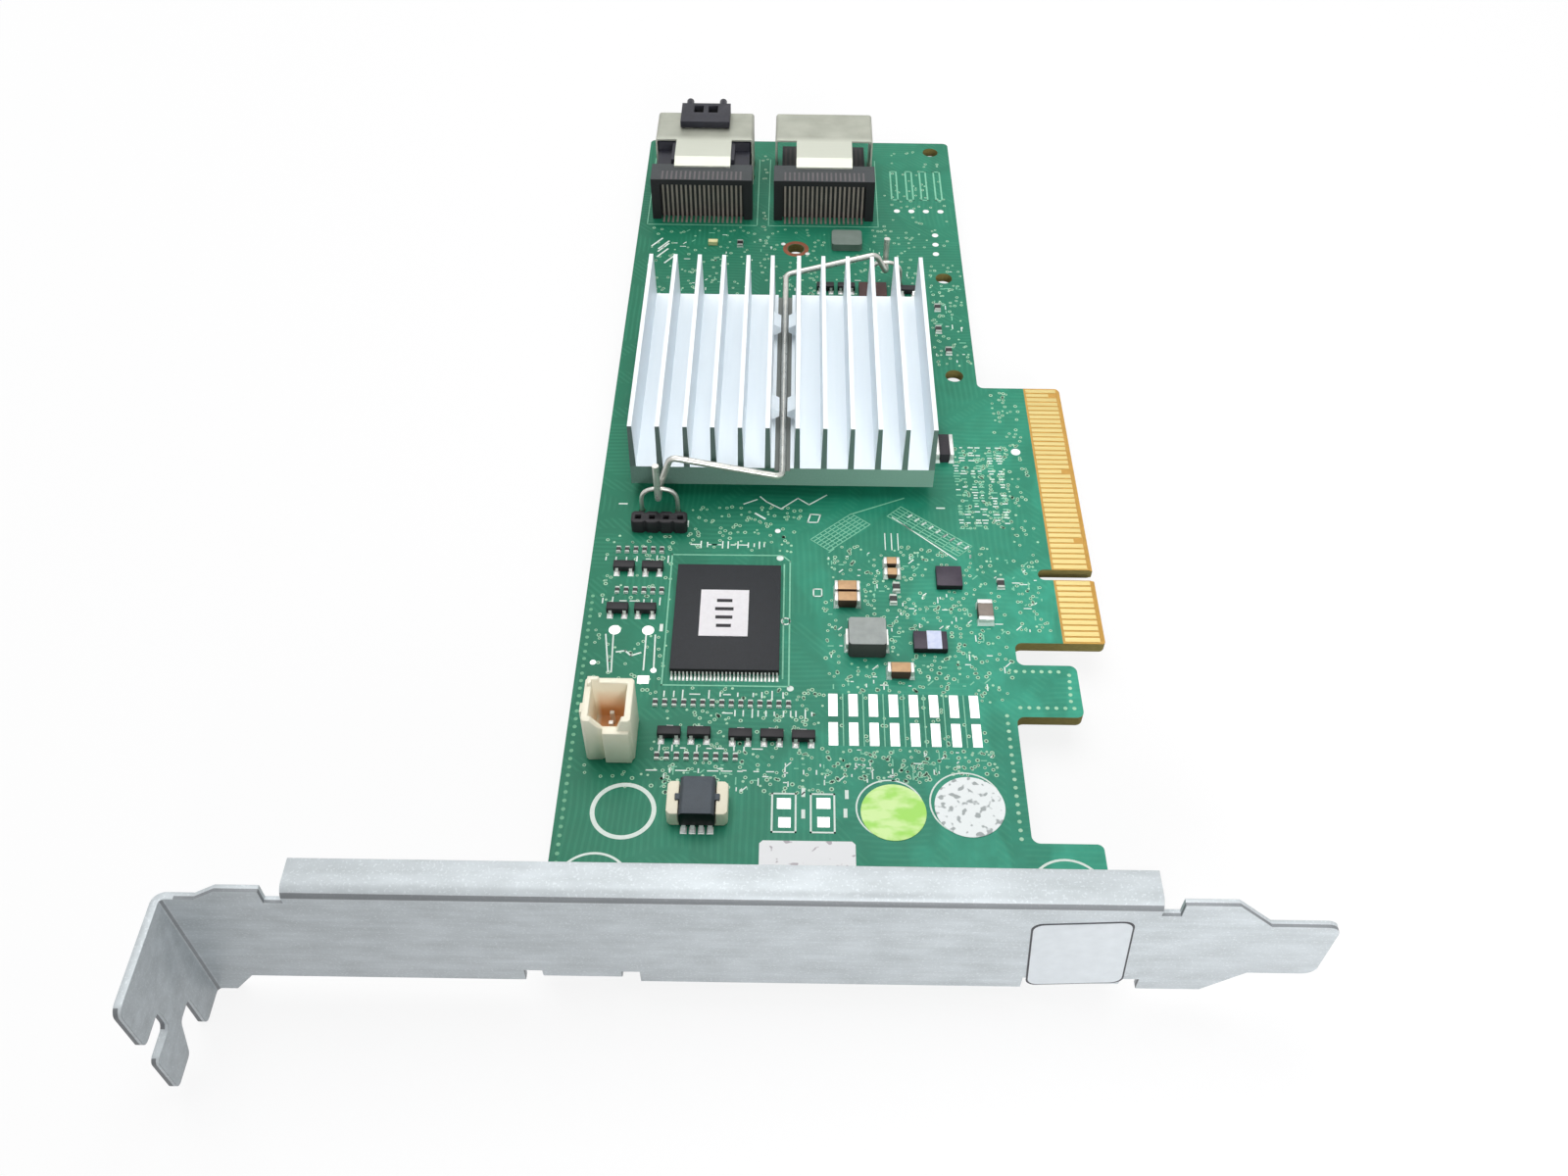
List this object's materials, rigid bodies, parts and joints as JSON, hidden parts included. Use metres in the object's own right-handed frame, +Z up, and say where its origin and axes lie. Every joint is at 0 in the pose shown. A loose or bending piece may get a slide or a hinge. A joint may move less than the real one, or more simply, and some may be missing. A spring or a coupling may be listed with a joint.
{
  "type": "host bus adapter",
  "caption": "Low-profile plug-in adapter card on a full-height slot bracket, with a finned, wire-clipped heatsink, shielded cable receptacles and gold edge contacts.",
  "frame": {"origin": "middle of the key slot, at the finger edge, on the board's component face", "axes": "+X out of the finger edge into the slot, +Y along the card away from the bracket, +Z up from the component face"},
  "size_m": [0.1209, 0.1817, 0.0217],
  "materials": {
    "board_mask": "green solder mask over glass-fibre laminate, satin gloss",
    "finger_gold": "hard gold plating, polished",
    "bracket_zinc": "zinc-plated mild steel sheet, matte",
    "screw_steel": "zinc-plated steel, satin",
    "heatsink_aluminium": "bare extruded aluminium, satin",
    "spring_steel": "plated spring wire, satin",
    "solder_tin": "tinned copper, satin",
    "shell_steel": "nickel-plated steel sheet, satin",
    "black_plastic": "black moulding, matte",
    "package_plastic": "dark moulding compound, fine matte",
    "cream_plastic": "cream nylon moulding, satin",
    "label_paper": "white coated paper, matte",
    "green_film": "lime green paper sticker, matte",
    "ceramic_tan": "fired tan ceramic, matte",
    "ferrite_grey": "pressed iron powder, matte",
    "resistor_black": "black glass glaze on white ceramic, satin",
    "lamp_resin": "clear resin over a pale base, glossy",
    "thermal_grey": "grey thermal compound, soft"
  },
  "bodies": {
    "root": {"circuit_board": "board_mask", "edge_contacts_top": "finger_gold", "edge_contacts_bottom": "finger_gold", "bracket": "bracket_zinc", "bracket_screws": "screw_steel", "controller_chip": "package_plastic", "thermal_pad": "thermal_grey", "heatsink": "heatsink_aluminium", "heatsink_clip": "spring_steel", "clip_anchors": "spring_steel", "receptacle_housing_left": "black_plastic", "receptacle_housing_right": "black_plastic", "receptacle_contacts_left": "finger_gold", "receptacle_contacts_right": "finger_gold", "receptacle_shell_left": "shell_steel", "receptacle_shell_right": "shell_steel", "dust_plug": "black_plastic", "socket_strip": "black_plastic", "socket_strip_tails": "solder_tin", "memory_chip": "package_plastic", "memory_chip_leads": "solder_tin", "memory_chip_label": "label_paper", "cable_header": "cream_plastic", "cable_header_pins": "solder_tin", "chip_socket": "cream_plastic", "socketed_chip": "package_plastic", "socketed_chip_leads": "solder_tin", "inductor_core": "ferrite_grey", "inductor_terminals": "solder_tin", "capacitor_bodies": "ceramic_tan", "capacitor_ends": "solder_tin", "resistor_bodies": "resistor_black", "resistor_ends": "solder_tin", "transistor_bodies": "package_plastic", "transistor_leads": "solder_tin", "regulator_chip": "package_plastic", "buffer_chip": "package_plastic", "driver_chip": "package_plastic", "driver_chip_label": "label_paper", "status_lamp": "lamp_resin", "oscillator_can": "shell_steel", "tantalum_capacitor": "package_plastic", "green_sticker": "green_film", "white_sticker": "label_paper", "board_label": "label_paper", "tinned_pads": "solder_tin"}
  },
  "joints": []
}
